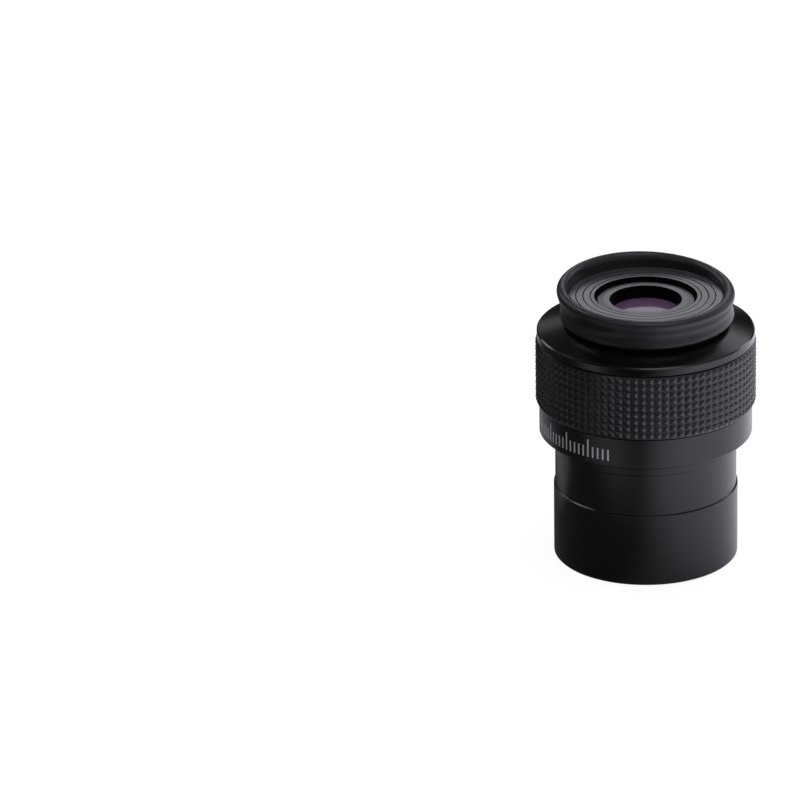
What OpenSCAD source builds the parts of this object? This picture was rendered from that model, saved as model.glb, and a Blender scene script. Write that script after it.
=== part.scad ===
// Telescope eyepiece with a 2 inch barrel. All sizes are in millimetres.
// The optical axis is +Z, and the origin is the centre of the barrel's open foot.

/* [Barrel] */
// Outside diameter of the barrel, the 2 inch telescope fitting
barrel_d = 50.8; // [48:0.1:62]
// Height of the full-width foot of the barrel
foot_h = 20.9; // [14:0.1:30]
// Height of the safety undercut above the foot
undercut_h = 11.6; // [6:0.1:16]
// Depth of the safety undercut
undercut_depth = 0.4; // [0.2:0.1:0.8]
// Height of the full-width collar above the undercut
collar_h = 3.8; // [2:0.1:6]
// Bevel round the foot
foot_bevel = 0.45; // [0.2:0.05:0.8]
// Wall round the filter thread
filter_wall = 1.8; // [1.2:0.1:2.4]
// Depth of the filter thread
filter_thread_h = 5; // [3:0.5:8]
// Wall of the barrel above the filter thread
barrel_wall = 2.6; // [2.2:0.1:3]
// Step from the barrel's surface in to its spigot thread
spigot_step = 1.2; // [0.8:0.1:1.4]
// Length of the spigot that holds the barrel in the body, from the body's foot
spigot_h = 6; // [4:0.5:8]
// Depth of the shallow recess in the body's foot that takes the end of the collar
collar_recess = 0.4; // [0.2:0.1:0.8]

/* [Body] */
// How far the label band stands out from the barrel
band_step = 3.9; // [3:0.1:6]
// Height of the label band
band_h = 8.6; // [6:0.1:12]
// Bevel under the label band
band_bevel = 0.3; // [0.1:0.05:0.5]
// Depth of the seat that the grip lies in
seat_step = 1; // [0.5:0.1:1.4]
// Height of the seat that the grip lies in
seat_h = 19; // [16:0.1:26]
// Wall of the body outside the thread of the top cap
tube_wall = 2.25; // [1.8:0.05:3]

/* [Grip] */
// Thickness of the grip, to the tips of its studs
grip_t = 2.2; // [1.6:0.1:3]
// Height of each stud
stud_h = 0.75; // [0.3:0.05:1]
// Rows of studs
stud_rows = 9; // [5:1:12]
// Studs in each row
stud_columns = 88; // [40:1:96]
// Plain margin at each end of the grip
grip_margin = 0.15; // [0.1:0.05:1]
// Gap left at each end of the grip
grip_gap = 0.35; // [0.1:0.05:0.6]

/* [Top cap] */
// How far the cap's edge stands out from the grip's seat
cap_edge_step = 1.6; // [1:0.1:2]
// Height of the cap's upright edge
cap_edge_h = 2.05; // [1.2:0.05:3]
// Bevel above the cap's edge
cap_bevel = 0.35; // [0.2:0.05:0.8]
// Bevel under the cap's edge
cap_foot_bevel = 0.15; // [0.1:0.05:0.4]
// Rise of the cap's cone from its bevel to the eyecup's seat
cap_cone_h = 2.2; // [1:0.1:4]
// Length of the cap's thread inside the body
cap_thread_h = 6; // [4:0.5:7]
// Thickness of the cap's threaded skirt
cap_skirt_t = 5; // [3:0.1:5.5]
// Diameter of the neck that the eyecup turns on
neck_d = 42.4; // [41:0.1:44.4]
// Height of the neck up to the eye ring
neck_h = 5.1; // [4.8:0.1:7]
// Wall of the neck
neck_wall = 3.2; // [3:0.1:3.5]
// Height from the eyecup's seat to the groove of the neck
neck_groove_lift = 1.3; // [1:0.1:1.5]
// Width of the groove that holds the eyecup's lip
neck_groove_w = 1.6; // [1.2:0.1:2]
// Depth of the groove that holds the eyecup's lip
neck_groove_depth = 0.8; // [0.4:0.1:1]

/* [Eye ring] */
// Thickness of the eye ring
eye_ring_t = 2; // [1.6:0.1:3]
// Diameter of the well in the eye ring
well_d = 28.2; // [27.8:0.1:29]
// Length of the thread under the eye ring
eye_thread_h = 2.6; // [1.6:0.1:2.8]
// Wall of the thread under the eye ring
eye_thread_t = 2.3; // [1.6:0.1:2.4]
// Number of glare grooves on the eye ring
glare_grooves = 3; // [1:1:3]
// Distance from the well to the first glare groove, and between grooves after it
glare_pitch = 1.97; // [1.2:0.01:2]
// Distance from the well's edge to the first glare groove
glare_inset = 1.1; // [0.6:0.1:1.4]
// Width of each glare groove
glare_w = 0.3; // [0.1:0.05:0.5]
// Depth of each glare groove
glare_depth = 0.25; // [0.1:0.05:0.5]

/* [Eyecup] */
// Wall of the eyecup against the neck
cup_wall = 1.25; // [0.8:0.05:1.4]
// How far the folded eyecup stands out from the neck
cup_overhang = 3.2; // [3:0.1:3.8]
// Height of the fold above the eye ring
cup_rise = 4.2; // [2:0.1:6]
// Depth of the waist under the fold
cup_waist_depth = 0.75; // [0.3:0.05:0.9]
// Radius of the bead along the free edge
cup_bead_r = 0.75; // [0.5:0.05:0.8]
// Height of the bead's underside above the eyecup's seat
cup_bead_lift = 0.65; // [0.3:0.05:1]
// Width of the slit left inside the folded skirt
cup_slit_w = 0.15; // [0.1:0.05:0.3]
// Height of the slit above the bead's centre
cup_slit_h = 2; // [1:0.1:3]

/* [Lenses] */
// Diameter of the eye lens pair
eye_lens_d = 23; // [20:0.1:24]
// Clear hole of the eye lens retainer
eye_hole_d = 19.8; // [16:0.1:20]
// Diameter of the centre lens
centre_lens_d = 27; // [25.6:0.1:28]
// Diameter of the field lens pair
field_lens_d = 30; // [29:0.1:36]
// Air gap between neighbouring lenses on the axis
air_gap = 0.5; // [0.3:0.1:1.5]
// Clear diameter of the field stop
field_stop_d = 24.4; // [18:0.1:28]
// Distance from the last lens surface to the field stop
stop_distance = 9.2; // [9:0.1:12]
// Wall of the lens cell
cell_wall = 3.45; // [3.2:0.05:4]

/* [Fits] */
// Radial clearance of each thread and each lens in its seat
fit = 0.05; // [0.02:0.01:0.08]
// Gap between faces that turn or slide past each other
run_gap = 0.2; // [0.1:0.05:0.3]
// Thickness of the cement between paired lenses
cement_t = 0.02; // [0.01:0.01:0.05]
// Radial clearance of the eyecup round the neck and in its groove
cup_fit = 0.08; // [0.04:0.01:0.15]
// Radial gap between the lens cell and the body's bore
cell_gap = 0.4; // [0.2:0.05:0.6]

/* [Hidden] */
$fn = 128;
// Small allowance that keeps a cut clear of the face it starts from
cut = 1;

// Radii from the barrel outwards
barrel_r = barrel_d / 2;
undercut_r = barrel_r - undercut_depth;
filter_r = barrel_r - filter_wall;
barrel_bore_r = barrel_r - barrel_wall;
spigot_r = barrel_r - spigot_step;
band_r = barrel_r + band_step;
seat_r = band_r - seat_step;
grip_r = seat_r + grip_t;
cap_edge_r = seat_r + cap_edge_step;
cap_bore_r = seat_r - tube_wall;
cap_skirt_r = cap_bore_r - fit;
neck_r = neck_d / 2;
neck_bore_r = neck_r - neck_wall;
cap_inner_r = max(neck_bore_r, min(cap_skirt_r - cap_skirt_t, neck_r));
well_r = well_d / 2;

// Levels from the foot upwards
undercut_z = foot_h;
collar_z = undercut_z + undercut_h;
band_z = collar_z + collar_h;
collar_top_z = band_z + collar_recess;
seat_z = band_z + band_h;
tube_top_z = seat_z + seat_h;
cap_skirt_z = tube_top_z - cap_thread_h;
cap_edge_z = tube_top_z + cap_edge_h;
cap_cone_z = cap_edge_z + cap_bevel;
cup_seat_z = cap_cone_z + cap_cone_h;
neck_groove_z = cup_seat_z + neck_groove_lift;
neck_top_z = cup_seat_z + neck_h;
plate_z = neck_top_z + eye_ring_t;
cup_seat_r = neck_r + cup_wall + cup_slit_w;

// Eye lens retainer, which stands in the well of the eye ring
retainer_drop = 1;
retainer_top_z = plate_z - retainer_drop;
retainer_h = 3.35;
retainer_thread_t = 1.75;
retainer_taper = 0.7;
eye_lens_r = eye_lens_d / 2;
eye_hole_r = eye_hole_d / 2;
retainer_r = eye_lens_r + retainer_thread_t;
retainer_rim_w = 1.6;
retainer_rim_drop = 0.25;
retainer_lip_w = 0.2;
retainer_rim_r = max(retainer_r - retainer_rim_w, eye_hole_r + retainer_lip_w);

// Curvature of each lens face, as a share of the lens's radius, from the eye to the field
centre_lens_r = centre_lens_d / 2;
field_lens_r = field_lens_d / 2;
eye_front_curve = eye_lens_r * 90 / 11.5;
eye_joint_curve = eye_lens_r * 22 / 11.5;
centre_curve = centre_lens_r * 38 / 13.5;
field_front_curve = field_lens_r * 38 / 15;
field_joint_curve = field_lens_r * 26 / 15;
field_back_curve = field_lens_r * 45 / 15;

// Thickness of each lens on the axis
eye_crown_t = 6.5;
eye_flint_t = 2;
centre_t = 6.5;
field_crown_t = 10;
field_flint_t = 2;

// Height lost from a lens vertex out to radius r
function sag(curve, r) = curve - sqrt(curve * curve - r * r);

// Vertex levels of the lenses, from the eye downwards
eye_top_z = retainer_top_z - retainer_h + sag(eye_front_curve, eye_hole_r - retainer_taper) - fit;
eye_joint_z = eye_top_z - eye_crown_t;
eye_bottom_z = eye_joint_z - eye_flint_t;
centre_top_z = eye_bottom_z - air_gap;
centre_bottom_z = centre_top_z - centre_t;
field_top_z = centre_bottom_z - air_gap;
field_joint_z = field_top_z - field_crown_t;
field_bottom_z = field_joint_z - field_flint_t;
field_edge_z = field_bottom_z - sag(field_back_curve, field_lens_r);

// Spacers and the ledge that the eye lens pair rests on
ledge_t = 1;
ledge_w = 0.7;
spacer_lip = 0.9;
ledge_r = eye_lens_r - ledge_w;
ledge_z = eye_bottom_z - fit - ledge_t;
eye_spacer_z = centre_top_z - sag(centre_curve, ledge_r) + fit;
field_spacer_r = centre_lens_r - spacer_lip;
field_spacer_top_z = centre_bottom_z + sag(centre_curve, field_spacer_r) - fit;
field_spacer_z = field_top_z - sag(field_front_curve, field_spacer_r) + fit;

// Lens cell
cell_r = field_lens_r + fit + cell_wall;
cell_flange_h = 2;
cell_flange_z = cap_skirt_z - fit - cell_flange_h;
cell_flange_r = cap_bore_r - 3 * fit;
cell_upper_r = neck_bore_r - 2 * fit;
cell_shoulder_t = 2.85;
cell_shoulder_r = field_lens_r + fit + cell_shoulder_t;
cell_shoulder_z = field_spacer_top_z + fit + ledge_t;
cell_shoulder_h = 1;
cell_top_r = neck_bore_r - fit - eye_thread_t - run_gap;
cell_top_z = neck_top_z - fit * 2;
cell_step_z = neck_top_z - eye_thread_h - run_gap;
cell_bore_r = cell_r + cell_gap;
cell_bore_z = band_z + spigot_h + run_gap;

// Field lens retainer and field stop
field_ring_h = 1.85;
field_ring_w = 2;
field_ring_step = 0.6;
field_ring_r = field_lens_r + field_ring_step;
field_ring_z = field_edge_z - fit - field_ring_h;
stop_z = field_bottom_z - stop_distance;
stop_t = 0.8;
stop_knife_t = 0.15;
stop_tube_wall = 1.5;
stop_tube_thread_r = cell_r - stop_tube_wall;
stop_tube_thread_h = 2.8;
stop_tube_foot = 2.1;
stop_tube_z = stop_z - stop_tube_foot;
stop_tube_top_z = field_ring_z - fit;
cell_bottom_z = stop_tube_top_z - stop_tube_thread_h;
stop_tube_r = field_lens_r;
stop_seat_step = 1.45;
stop_seat_r = field_lens_r + stop_seat_step;
stop_r = stop_seat_r - fit;
stop_lock_w = 1.6;
slot_w = 1.2;
slot_depth = 0.8;

// Grub screws that lock the cap, hidden under the grip
screw_count = 3;
screw_r = 1;
screw_socket_d = 1.05;
screw_socket_depth = 1;
screw_l = 3.2;
screw_z = (cap_skirt_z + tube_top_z) / 2;
screw_sink = 0.3;
screw_out_r = seat_r - screw_sink;

// Eyecup
cup_bore_r = neck_r + cup_fit;
cup_z = cup_seat_z + run_gap;
cup_r = neck_r + cup_overhang;
cup_lip_r = neck_r - neck_groove_depth + cup_fit;
cup_lip_gap = 0.1;
cup_fold_r = (cup_r - cup_bore_r) / 2;
cup_fold_z = plate_z + cup_rise - cup_fold_r;
cup_waist_r = cup_r - cup_waist_depth;
cup_bead_z = cup_z + cup_bead_lift + cup_bead_r - run_gap;
cup_bead_out = 0.2;
cup_waist_drop = 0.5;
cup_waist_z = (cup_fold_z + cup_bead_z) / 2 - cup_waist_drop;

// Points of an arc round (x, y), from angle a to angle b in n steps
function arc(x, y, r, a, b, n = 16) =
    [for (i = [0:n]) let (t = a + (b - a) * i / n) [x + r * cos(t), y + r * sin(t)]];

// Points that ease from one radius to another between two levels
function ease(r0, z0, r1, z1, n = 10) =
    [for (i = [1:n]) let (t = i / n) [r0 + (r1 - r0) * (1 - cos(180 * t)) / 2, z0 + (z1 - z0) * t]];

// A ring turned from an outline of [radius, level] points
module turned(points) {
    rotate_extrude() polygon(points);
}

// A plain ring between two radii and two levels
module ring(inner_r, outer_r, low, high) {
    turned([[inner_r, low], [outer_r, low], [outer_r, high], [inner_r, high]]);
}

// A lens between two vertex levels. A positive curve bulges outwards, a negative one is hollow, 0 is flat
module lens(r, top_z, top_curve, bottom_z, bottom_curve) {
    top_edge = top_curve < 0 ? top_z + sag(-top_curve, r) : top_z;
    bottom_edge = bottom_curve < 0 ? bottom_z - sag(-bottom_curve, r) : bottom_z;
    difference() {
        intersection() {
            translate([0, 0, bottom_edge]) cylinder(r = r, h = top_edge - bottom_edge);
            if (top_curve > 0) translate([0, 0, top_z - top_curve]) sphere(r = top_curve);
            if (bottom_curve > 0) translate([0, 0, bottom_z + bottom_curve]) sphere(r = bottom_curve);
        }
        if (top_curve < 0) translate([0, 0, top_z - top_curve]) sphere(r = -top_curve);
        if (bottom_curve < 0) translate([0, 0, bottom_z + bottom_curve]) sphere(r = -bottom_curve);
    }
}

// Two spanner slots across the underside of a ring
module spanner_slots(inner_r, outer_r, low) {
    for (side = [0, 180])
        rotate([0, 0, side])
            translate([inner_r - cut, -slot_w / 2, low - cut])
                cube([outer_r - inner_r + 2 * cut, slot_w, slot_depth + cut]);
}

module barrel() {
    color("#17171a")
        turned([
            [barrel_r - foot_bevel, 0],
            [barrel_r, foot_bevel],
            [barrel_r, undercut_z - undercut_depth],
            [undercut_r, undercut_z],
            [undercut_r, collar_z],
            [barrel_r, collar_z + undercut_depth],
            [barrel_r, collar_top_z],
            [spigot_r, collar_top_z],
            [spigot_r, band_z + spigot_h - undercut_depth],
            [spigot_r - undercut_depth, band_z + spigot_h],
            [barrel_bore_r, band_z + spigot_h],
            [barrel_bore_r, filter_thread_h + filter_r - barrel_bore_r],
            [filter_r, filter_thread_h],
            [filter_r, undercut_depth],
            [filter_r + undercut_depth, 0],
        ]);
}

module body_tube() {
    color("#101013")
        difference() {
            turned([
                [spigot_r + fit, collar_top_z],
                [barrel_r + fit, collar_top_z],
                [barrel_r + fit, band_z],
                [band_r - band_bevel, band_z],
                [band_r, band_z + band_bevel],
                [band_r, seat_z],
                [seat_r, seat_z],
                [seat_r, tube_top_z - fit],
                [cap_bore_r, tube_top_z - fit],
                [cap_bore_r, cell_flange_z],
                [cell_bore_r, cell_flange_z],
                [cell_bore_r, cell_bore_z],
                [spigot_r + fit, cell_bore_z],
            ]);
            screw_bores();
        }
}

// Radial bores of the grub screws
module screw_bores() {
    for (i = [0:screw_count - 1])
        rotate([0, 0, 360 * i / screw_count])
            translate([screw_out_r - screw_l - fit, 0, screw_z])
                rotate([0, 90, 0])
                    cylinder(r = screw_r + fit, h = seat_r - screw_out_r + screw_l + cut);
}

module cap_grub_screws() {
    color("#3c3c40")
        for (i = [0:screw_count - 1])
            rotate([0, 0, 360 * i / screw_count])
                translate([screw_out_r - screw_l, 0, screw_z])
                    rotate([0, 90, 0])
                        difference() {
                            cylinder(r = screw_r, h = screw_l);
                            translate([0, 0, screw_l - screw_socket_depth])
                                cylinder(d = screw_socket_d, h = screw_socket_depth + cut, $fn = 6);
                        }
}

// Studded outside of the grip: a closed skin whose cells each rise to a point
module studded_core(tip_r, base_r, low, high) {
    rows = stud_rows;
    columns = stud_columns;
    pitch = (high - low - 2 * grip_margin) / rows;
    levels = [low, for (j = [0:rows]) low + grip_margin + j * pitch, high];
    step = 360 / columns;
    corners = [
        for (z = levels) for (i = [0:columns - 1])
            [base_r * cos(i * step), base_r * sin(i * step), z]
    ];
    tips = [
        for (j = [0:rows - 1]) for (i = [0:columns - 1])
            let (a = (i + 0.5) * step)
                [tip_r * cos(a), tip_r * sin(a), low + grip_margin + (j + 0.5) * pitch]
    ];
    ends = [[0, 0, low], [0, 0, high]];
    first_tip = len(corners);
    first_end = first_tip + len(tips);
    function corner(j, i) = j * columns + i % columns;
    function tip(j, i) = first_tip + j * columns + i;
    studs = [
        for (j = [0:rows - 1]) for (i = [0:columns - 1])
            for (side = [
                [corner(j + 1, i), corner(j + 1, i + 1)],
                [corner(j + 1, i + 1), corner(j + 2, i + 1)],
                [corner(j + 2, i + 1), corner(j + 2, i)],
                [corner(j + 2, i), corner(j + 1, i)],
            ])
                [side[1], side[0], tip(j, i)]
    ];
    margins = [
        for (j = [0, rows + 1]) for (i = [0:columns - 1])
            [corner(j, i), corner(j + 1, i), corner(j + 1, i + 1), corner(j, i + 1)]
    ];
    caps = [
        for (i = [0:columns - 1])
            for (face = [
                [first_end, corner(0, i), corner(0, i + 1)],
                [first_end + 1, corner(rows + 2, i + 1), corner(rows + 2, i)],
            ])
                face
    ];
    polyhedron(concat(corners, tips, ends), concat(studs, margins, caps), convexity = 4);
}

module grip_sleeve() {
    low = seat_z + grip_gap;
    high = tube_top_z - grip_gap;
    color("#232427")
        difference() {
            studded_core(grip_r, grip_r - stud_h, low, high);
            translate([0, 0, low - cut]) cylinder(r = seat_r + fit, h = high - low + 2 * cut);
        }
}

module top_cap() {
    color("#0c0c0e")
        difference() {
            turned([
                [cap_skirt_r, cap_skirt_z],
                [cap_skirt_r, tube_top_z],
                [cap_edge_r - cap_foot_bevel, tube_top_z],
                [cap_edge_r, tube_top_z + cap_foot_bevel],
                [cap_edge_r, cap_edge_z],
                [cap_edge_r - cap_bevel, cap_cone_z],
                [cup_seat_r, cup_seat_z],
                [neck_r, cup_seat_z],
                [neck_r, neck_groove_z],
                [neck_r - neck_groove_depth, neck_groove_z],
                [neck_r - neck_groove_depth, neck_groove_z + neck_groove_w],
                [neck_r, neck_groove_z + neck_groove_w],
                [neck_r, neck_top_z],
                [neck_bore_r, neck_top_z],
                [neck_bore_r, cap_edge_z],
                [cap_inner_r, tube_top_z],
                [cap_inner_r, cap_skirt_z],
            ]);
            screw_bores();
        }
}

module eye_ring() {
    thread_r = neck_bore_r - fit;
    thread_z = neck_top_z - eye_thread_h;
    color("#2a2a2d")
        difference() {
            union() {
                ring(well_r, neck_r, neck_top_z + fit, plate_z);
                ring(thread_r - eye_thread_t, thread_r, thread_z, neck_top_z + 2 * fit);
            }
            for (i = [0:glare_grooves - 1])
                let (r = well_r + glare_inset + i * glare_pitch)
                    turned([
                        [r - glare_w / 2, plate_z],
                        [r, plate_z - glare_depth],
                        [r + glare_w / 2, plate_z],
                        [r + glare_w / 2, plate_z + cut],
                        [r - glare_w / 2, plate_z + cut],
                    ]);
        }
}

// The rubber eyecup, folded down: a wall on the neck, a rounded fold, and a skirt with a beaded edge
module eyecup() {
    lip_low = neck_groove_z + cup_lip_gap;
    lip_high = neck_groove_z + neck_groove_w - cup_lip_gap;
    wall_r = cup_bore_r + cup_wall;
    slit_top_z = cup_bead_z + cup_slit_h;
    bead_x = max(cup_r - cup_bead_out - cup_bead_r, wall_r + cup_slit_w + cup_bead_r);
    color("#1c1d20")
        turned(concat(
            [[cup_bore_r, cup_z], [cup_bore_r, lip_low], [cup_lip_r, lip_low], [cup_lip_r, lip_high]],
            [[cup_bore_r, lip_high]],
            arc(cup_bore_r + cup_fold_r, cup_fold_z, cup_fold_r, 180, 0, 24),
            ease(cup_r, cup_fold_z, cup_waist_r, cup_waist_z),
            ease(cup_waist_r, cup_waist_z, bead_x + cup_bead_r, cup_bead_z),
            arc(bead_x, cup_bead_z, cup_bead_r, -10, -180, 16),
            [[wall_r + cup_slit_w, slit_top_z], [wall_r, slit_top_z], [wall_r, cup_z]]
        ));
}

module lens_cell() {
    color("#141416")
        turned([
            [stop_tube_thread_r + fit, cell_bottom_z],
            [cell_r, cell_bottom_z],
            [cell_r, cell_flange_z],
            [cell_flange_r, cell_flange_z],
            [cell_flange_r, cell_flange_z + cell_flange_h],
            [cell_shoulder_r, cell_flange_z + cell_flange_h],
            [cell_shoulder_r, cell_shoulder_z],
            [cell_upper_r, cell_shoulder_z + cell_shoulder_h],
            [cell_upper_r, cell_step_z],
            [cell_top_r, cell_step_z],
            [cell_top_r, cell_top_z],
            [retainer_r + fit, cell_top_z],
            [retainer_r + fit, retainer_top_z - retainer_h - fit],
            [eye_lens_r + fit, retainer_top_z - retainer_h - fit],
            [eye_lens_r + fit, ledge_z + ledge_t],
            [ledge_r, ledge_z + ledge_t],
            [ledge_r, ledge_z],
            [centre_lens_r + fit, ledge_z],
            [centre_lens_r + fit, field_spacer_top_z + fit],
            [field_lens_r + fit, field_spacer_top_z + fit],
            [field_lens_r + fit, field_edge_z],
            [field_ring_r + fit, field_edge_z],
            [field_ring_r + fit, stop_tube_top_z],
            [stop_tube_thread_r + fit, stop_tube_top_z],
        ]);
}

module eye_lens_retainer() {
    color("#2e2e31")
        turned([
            [eye_hole_r - retainer_taper, retainer_top_z - retainer_h],
            [retainer_r, retainer_top_z - retainer_h],
            [retainer_r, retainer_top_z - retainer_rim_drop],
            [retainer_rim_r, retainer_top_z],
            [eye_hole_r, retainer_top_z],
        ]);
}

module eye_crown_lens() {
    color("#8a6aa8")
        lens(eye_lens_r, eye_top_z, eye_front_curve, eye_joint_z, eye_joint_curve);
}

module eye_flint_lens() {
    color("#a58cc0")
        lens(eye_lens_r, eye_joint_z - cement_t, -eye_joint_curve - cement_t, eye_bottom_z, 0);
}

module eye_spacer() {
    color("#1a1a1c")
        ring(ledge_r, centre_lens_r, eye_spacer_z, ledge_z - fit);
}

module centre_lens() {
    color("#9fb8c8")
        lens(centre_lens_r, centre_top_z, centre_curve, centre_bottom_z, centre_curve);
}

module field_spacer() {
    color("#1a1a1c")
        ring(field_spacer_r, field_lens_r, field_spacer_z, field_spacer_top_z);
}

module field_crown_lens() {
    color("#8fb4a8")
        lens(field_lens_r, field_top_z, field_front_curve, field_joint_z, field_joint_curve);
}

module field_flint_lens() {
    color("#7fa89c")
        lens(
            field_lens_r,
            field_joint_z - cement_t,
            -field_joint_curve - cement_t,
            field_bottom_z,
            -field_back_curve
        );
}

module field_lens_retainer() {
    inner_r = field_ring_r - field_ring_w;
    color("#1e1e20")
        difference() {
            ring(inner_r, field_ring_r, field_ring_z, field_ring_z + field_ring_h);
            spanner_slots(inner_r, field_ring_r, field_ring_z);
        }
}

module stop_tube() {
    color("#161618")
        turned([
            [stop_seat_r, stop_tube_z],
            [cell_r, stop_tube_z],
            [cell_r, cell_bottom_z - fit],
            [stop_tube_thread_r, cell_bottom_z - fit],
            [stop_tube_thread_r, stop_tube_top_z - fit],
            [stop_tube_r, stop_tube_top_z - fit],
            [stop_tube_r, stop_z + fit],
            [stop_seat_r, stop_z + fit],
        ]);
}

// The field stop, with its hole brought to a thin edge
module field_stop() {
    stop_hole_r = field_stop_d / 2;
    color("#0e0e10")
        turned([
            [stop_hole_r, stop_z - stop_knife_t],
            [stop_hole_r + stop_t, stop_z - stop_t],
            [stop_r, stop_z - stop_t],
            [stop_r, stop_z],
            [stop_hole_r, stop_z],
        ]);
}

module stop_lock_ring() {
    inner_r = stop_r - stop_lock_w;
    color("#1e1e20")
        difference() {
            ring(inner_r, stop_r, stop_tube_z + fit, stop_z - stop_t - fit);
            spanner_slots(inner_r, stop_r, stop_tube_z + fit);
        }
}

barrel();
body_tube();
grip_sleeve();
top_cap();
cap_grub_screws();
eye_ring();
eyecup();
lens_cell();
eye_lens_retainer();
eye_crown_lens();
eye_flint_lens();
eye_spacer();
centre_lens();
field_spacer();
field_crown_lens();
field_flint_lens();
field_lens_retainer();
stop_tube();
field_stop();
stop_lock_ring();
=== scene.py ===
"""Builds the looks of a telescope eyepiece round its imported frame.

Sizes are in millimetres in the classes and in metres in the meshes. The optical axis is Z, and the
origin is the centre of the barrel's open foot.
"""

import logging
import math
from dataclasses import dataclass
from enum import Enum
from typing import Any, Callable, Optional, Union

import bpy
import numpy as np
from mathutils import Matrix, Vector


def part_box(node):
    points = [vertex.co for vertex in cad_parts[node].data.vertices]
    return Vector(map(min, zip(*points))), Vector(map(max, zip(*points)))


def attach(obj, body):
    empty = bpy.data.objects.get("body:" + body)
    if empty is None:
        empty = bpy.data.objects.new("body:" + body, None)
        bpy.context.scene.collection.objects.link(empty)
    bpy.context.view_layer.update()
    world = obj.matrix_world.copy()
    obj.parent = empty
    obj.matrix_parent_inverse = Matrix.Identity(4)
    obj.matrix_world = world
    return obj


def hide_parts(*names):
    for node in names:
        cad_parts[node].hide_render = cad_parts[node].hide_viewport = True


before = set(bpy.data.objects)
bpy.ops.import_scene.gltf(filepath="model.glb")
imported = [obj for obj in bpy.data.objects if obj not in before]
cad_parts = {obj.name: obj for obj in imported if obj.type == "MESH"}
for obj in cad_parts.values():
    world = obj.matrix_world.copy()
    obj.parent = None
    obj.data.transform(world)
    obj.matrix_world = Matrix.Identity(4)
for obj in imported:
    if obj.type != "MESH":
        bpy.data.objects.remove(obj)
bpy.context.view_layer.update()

MM = 0.001
TURN = 2.0 * math.pi
LOG = logging.getLogger("eyepiece")

Colour = tuple[float, float, float]
Corner = tuple[float, ...]
Number = Union[float, "Value"]
Table = Optional[dict[Any, Any]]

# Grey for scuffed edges, and for the painted highlight along anodised edges.
BARE_METAL_AND_EDGE_HIGHLIGHT: Colour = (0.32, 0.32, 0.33)
# Near black for inward-facing walls: blackened bores, and painted shade inside holes and wells.
BORE_BLACK_AND_SHADE: Colour = (0.003, 0.003, 0.0035)
FLAT_BLACK: Colour = (0.012, 0.012, 0.013)
TICK_PAINT: Colour = (0.88, 0.88, 0.87)
METAL_DUST: Colour = (0.4, 0.39, 0.37)
RUBBER_DUST: Colour = (0.2, 0.195, 0.185)
LENS_DUST: Colour = (0.5, 0.5, 0.5)
LENS_HAZE: Colour = (0.4, 0.4, 0.4)
LINT: Colour = (0.45, 0.44, 0.42)


class Body(Enum):
    """The rigid bodies of the frame that a piece may ride on."""

    BARREL = "barrel"
    LIFT = "lift"
    HEAD = "head"
    CUP = "cup"


class Slot(Enum):
    """The record's material slot names, handed to each piece but not applied to it."""

    BARREL_METAL = "barrel_metal"
    BODY_METAL = "body_metal"
    EYE_METAL = "eye_metal"
    INNER_METAL = "inner_metal"
    GRIP_RUBBER = "grip_rubber"
    CUP_RUBBER = "cup_rubber"
    COATED_GLASS = "coated_glass"
    INNER_GLASS = "inner_glass"


class Cut(Enum):
    """Which way a thread is cut into its wall: towards the axis on a male one, away on a female one."""

    MALE = -1.0
    FEMALE = 1.0


# ---------------------------------------------------------------------------------------------
# Shader maths


def arithmetic(operation: str, flipped: bool = False) -> Callable[["Value", Number], "Value"]:
    """Makes a Value's method for one operation with another number.

    Args:
        operation: The Math node's operation.
        flipped: Whether the other number is the first term.

    Returns:
        The method.
    """

    def method(self: "Value", other: Number) -> "Value":
        """Adds one Math node with self and other as its terms."""
        return self.math(operation, *((other, self) if flipped else (self, other)))

    return method


class Value:
    """A number that a shader works out, with arithmetic that adds Math nodes."""

    __add__, __radd__ = arithmetic("ADD"), arithmetic("ADD", True)
    __sub__, __rsub__ = arithmetic("SUBTRACT"), arithmetic("SUBTRACT", True)
    __mul__, __rmul__ = arithmetic("MULTIPLY"), arithmetic("MULTIPLY", True)
    __truediv__, __pow__ = arithmetic("DIVIDE"), arithmetic("POWER")
    __gt__, __lt__ = arithmetic("GREATER_THAN"), arithmetic("LESS_THAN")

    def __init__(self, shader: "Shader", socket: bpy.types.NodeSocket) -> None:
        """Keeps the shader that the number belongs to and the output socket that gives it."""
        self.shader = shader
        self.socket = socket

    def __abs__(self) -> "Value":
        """Self without its sign."""
        return self.math("ABSOLUTE", self)

    def math(self, operation: str, *terms: Number) -> "Value":
        """Adds one Math node for an operation on its terms, in order, and takes its result."""
        return self.shader.number("ShaderNodeMath", {"operation": operation}, dict(enumerate(terms)))

    def fraction(self) -> "Value":
        """The part of self after the point."""
        return self.math("FRACT", self)

    def step(self, low: float, high: float) -> "Value":
        """Eases from 0 where self is low to 1 where it is high. Low may be the greater one."""
        inputs = {"Value": self, "From Min": low, "From Max": high}
        return self.shader.number("ShaderNodeMapRange", {"interpolation_type": "SMOOTHSTEP"}, inputs)


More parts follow.
